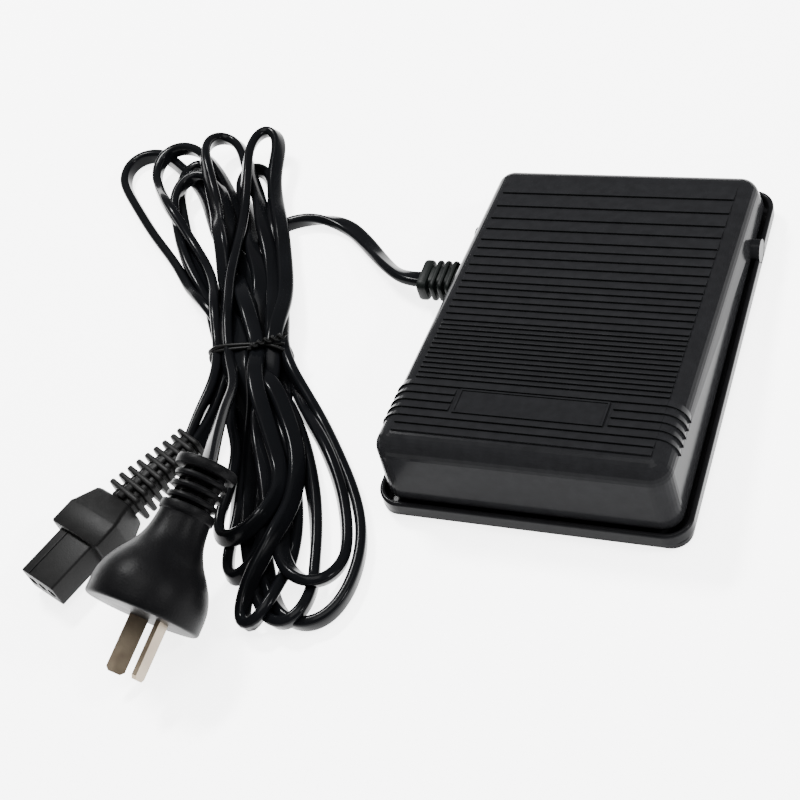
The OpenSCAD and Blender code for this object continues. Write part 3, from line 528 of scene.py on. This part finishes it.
relief = [(0, 36.6), (5.4, 36.6)]
for k in range(3):
    relief += rib(38.1 + 3.7 * k, 2.1, 8.6 + 0.2 * k, 5.4 - 0.2 * k)
relief += rib(48.9, 3.6, 10.4, 4.9) + [(4.6, 52.6), (0, 52.6)]
spine = soft_bar(37, 49.4, 15.4, 4.2, at_plug @ place((0, 0, 0), ("Y", -90)), 0.4)
relief_skin = piece("plug_tail", *join([lathe(relief, at_plug, 64), spine]), PLUG, 40)
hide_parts("plug_strain_relief")

at_connector = place((-156.5, -124.5, 7.5), ("Z", 69.9))
NOSE_L, NOSE_W, NOSE_H = 19.2, 16.4, 10.2
SOCKET_R, SOCKET_L, SOCKETS = 1.9, 14.0, (-5, 0, 5)


def nose():
    """The connector's nose, with three sockets through its face."""
    sides = 24
    ring = [(SOCKET_R * math.cos(2 * math.pi * k / sides), SOCKET_R * math.sin(2 * math.pi * k / sides))
            for k in range(sides)]
    rings = [rounded(NOSE_W - 0.7, NOSE_H - 0.7, 0.7, 0), rounded(NOSE_W - 0.2, NOSE_H - 0.2, 0.8, 0.12),
             rounded(NOSE_W, NOSE_H, 0.8, 0.4), rounded(NOSE_W, NOSE_H, 0.8, NOSE_L + 0.6)]
    n = len(rings[0])
    verts = [p for outline in rings for p in outline]
    faces = [(i * n + k, i * n + (k + 1) % n, (i + 1) * n + (k + 1) % n, (i + 1) * n + k)
             for i in range(3) for k in range(n)]
    faces.append(tuple(range(3 * n, 4 * n)))
    loops, index = [[Vector(p) for p in rings[0]]], list(range(n))
    for y in SOCKETS:
        start = len(verts)
        floor_start = start + sides
        for x in (0.0, SOCKET_L):
            verts += [(x, y + a, b) for a, b in ring]
        loops.append([Vector(p) for p in verts[start:floor_start]])
        index += list(range(start, floor_start))
        faces += [(floor_start + k, floor_start + (k + 1) % sides, start + (k + 1) % sides, start + k)
                  for k in range(sides)]
        faces.append(tuple(range(floor_start, floor_start + sides))[::-1])
    for tri in tessellate_polygon(loops):
        a, b, c = (Vector(verts[index[i]]) for i in tri)
        turn = (b - a).cross(c - a).x
        faces.append(tuple(index[i] for i in (tri if turn < 0 else tri[::-1])))
    return put(at_connector, verts), faces


groove = soft_bar(0.3, NOSE_L, 0.5, 0.5, at_connector @ place((0, 4.2, 5.2)), 0.12, corner=0.2)
collar = loft([(NOSE_L, 22.3, 13.6, 0.8), (NOSE_L + 0.15, 23.1, 14.4, 0.9), (NOSE_L + 0.6, 23.7, 15, 1),
               (NOSE_L + 9.5, 23.7, 15, 1), (NOSE_L + 10, 23.5, 14.8, 1.1), (NOSE_L + 10.6, 23.0, 14.5, 1.2),
               (NOSE_L + 18.4, 17.4, 11.8, 1.4), (NOSE_L + 19, 16.2, 11, 1.2), (NOSE_L + 19.4, 14.4, 9.6, 1)],
              at_connector)
connector_skin = piece("connector_moulding", *join([nose(), collar]), CONNECTOR, 38)
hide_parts("connector_body")
groove_skin = piece("connector_seam", *groove, CONNECTOR, 38)

tail = at_connector @ place((38.2, -2, 1), ("Z", -6.9))
RELIEF_L, RELIEF_RIBS, RELIEF_PITCH = 33, 8, 3.7
bars = [soft_bar(0.2, RELIEF_L, 10.6, 6.8, tail, 0.5, 8, 6, 1.6),
        soft_bar(0.6, RELIEF_L, 3.6, 10.4, tail, 0.5, 3.2, 8.2, 0.9)]
for k in range(RELIEF_RIBS):
    t = k / (RELIEF_RIBS - 1)
    x = RELIEF_L - 4.7 - RELIEF_PITCH * (RELIEF_RIBS - 1 - k)
    bars.append(soft_bar(x, x + 2.0, 17 - 4.4 * t, 11 - 2.2 * t, tail, 0.62, corner=1.6))
bars.append(soft_bar(31.4, 33.2, 12.4, 9.4, tail, 0.6, corner=1.8))
tail_skin = piece("connector_tail", *join(bars), CONNECTOR, 38)
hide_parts("connector_strain_relief")

at_gland = place((0, 22, 9.1))
gland = [soft_bar(-65.5, -51.4, 9.2, 7.4, at_gland, 0.4, corner=2),
         soft_bar(-66, -62.1, 14.2, 9, at_gland, 1.0, corner=2.4)]
gland += [soft_bar(-60.8 + 3 * k, -58.9 + 3 * k, 14.4, 9, at_gland, 0.7, corner=2.4) for k in range(3)]
gland += [soft_bar(-52.2, -43, 10.4, 7.8, at_gland @ place((0, 0, -0.1)), 0.2, corner=0.6),
          soft_bar(-45.9, -43, 13.2, 8.6, at_gland @ place((0, 0, 0.15)), 0.3, corner=0.6)]
gland_skin = piece("gland_moulding", *join(gland), GLAND, 40)
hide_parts("cord_gland")


def wire(points, r, sides=10, closed=False):
    """A round wire through the points."""
    p = np.array(points, float)
    rings = []
    n = len(p)
    for i in range(n):
        ahead, behind = ((i + 1) % n, i - 1) if closed else (min(i + 1, n - 1), max(i - 1, 0))
        t = unit(p[ahead] - p[behind])
        a = unit(np.cross(t, V(0.3, 0.9, 0.25)))
        b = np.cross(t, a)
        turns = [2 * math.pi * k / sides for k in range(sides)]
        rings.append([tuple((p[i] + r * (a * math.cos(w) - b * math.sin(w))) * MM) for w in turns])
    return tube(rings, closed)


def coil(x, y, r, z0, z1, turns):
    steps = 24 * turns
    out = []
    for k in range(steps + 1):
        a = 2 * math.pi * turns * k / steps
        out.append((x + r * math.cos(a), y + r * math.sin(a), z0 + (z1 - z0) * k / steps))
    return out


# The return springs and the slider spring, as coils of wire
pair = [wire(coil(side * 30, -55, 4.2, 3.95, 21.45, 6), 0.55, 8) for side in (-1, 1)]
springs = piece("return_spring_coils", *join(pair), SPRING, 60)
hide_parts("return_springs")
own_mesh(springs)
small_spring = piece("slider_spring_coil", *wire(coil(-16, -28, 2, 9.55, 14.9, 4), 0.25, 8), SPRING, 60)
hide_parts("slider_spring")
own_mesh(small_spring)


def winding(skew, swell):
    """One turn of the tie round the bundle, as an oval."""
    out = []
    steps = 72
    run = V(-across[1], across[0])
    for k in range(steps):
        a = 2 * math.pi * k / steps
        c, s = math.cos(a), math.sin(a)
        x = (15.2 + swell) * math.copysign(abs(c) ** 0.55, c)
        z = 6.9 + (6.0 + swell) * math.copysign(abs(s) ** 0.6, s)
        y = skew * (c + 0.35 * math.sin(3 * a))
        p = tie + across * x + run * y
        out.append((p[0], p[1], z))
    return out


def twisted(side):
    """One of the tie's two ends, twisted round the other."""
    out = []
    steps = 40
    run = V(-across[1], across[0])
    for k in range(steps):
        t = k / (steps - 1)
        a = 2 * math.pi * 2.6 * t + (math.pi if side else 0)
        p = tie + across * (2 + 13 * t + 0.5 * math.cos(a)) + run * (-1.5 + 4.4 * t + 0.9 * math.cos(a))
        out.append((p[0], p[1], 14.2 + 0.75 * math.sin(a) + 0.5 * math.sin(math.pi * t)))
    return out


ties = [wire(winding(1.3, 0), 0.75, closed=True), wire(winding(-1.5, 0.7), 0.75, closed=True),
        wire(twisted(0), 0.7), wire(twisted(1), 0.7)]
tie_skin = piece("twist_tie_wire", *join(ties), TIE, 60)
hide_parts("twist_tie")

# ---------------------------------------------------------------- studio
FLOOR_HALF = 30
floor_me = bpy.data.meshes.new("floor")
floor_me.from_pydata([(x * FLOOR_HALF, y * FLOOR_HALF, 0) for x, y in ((-1, -1), (1, -1), (1, 1), (-1, 1))],
                     [], [(0, 1, 2, 3)])
floor = bpy.data.objects.new("floor", floor_me)
bpy.context.scene.collection.objects.link(floor)
FLOOR = bpy.data.materials.new("floor_white")
FLOOR.use_nodes = True
paper = FLOOR.node_tree.nodes["Principled BSDF"]
paper.inputs["Base Color"].default_value = (0.95, 0.95, 0.95, 1)
paper.inputs["Roughness"].default_value = 0.9
paper.inputs["Specular IOR Level"].default_value = 0.1
paper.inputs["Emission Color"].default_value = (1, 1, 1, 1)
paper.inputs["Emission Strength"].default_value = 4.2
floor_me.materials.append(FLOOR)

world = bpy.data.worlds.new("studio")
world.use_nodes = True
world.node_tree.nodes["Background"].inputs["Color"].default_value = (1, 1, 1, 1)
world.node_tree.nodes["Background"].inputs["Strength"].default_value = 0.45
bpy.context.scene.world = world


def area(name, at, look, size, power):
    """A rectangular light at a place, turned to look at another."""
    d = bpy.data.lights.new(name, "AREA")
    d.shape, d.size, d.size_y, d.energy = "RECTANGLE", size[0], size[1], power
    o = bpy.data.objects.new(name, d)
    o.location = at
    o.rotation_mode = "QUATERNION"
    o.rotation_quaternion = (Vector(look) - Vector(at)).to_track_quat("-Z", "Y")
    bpy.context.scene.collection.objects.link(o)


area("key", (-0.75, 0.55, 1.2), (-0.05, 0, 0), (0.34, 0.14), 46)
area("top", (0.1, 0.1, 1.7), (-0.05, 0, 0), (1.0, 1.0), 34)
area("fill", (1.1, 0.1, 0.8), (-0.05, 0, 0), (0.25, 0.12), 16)
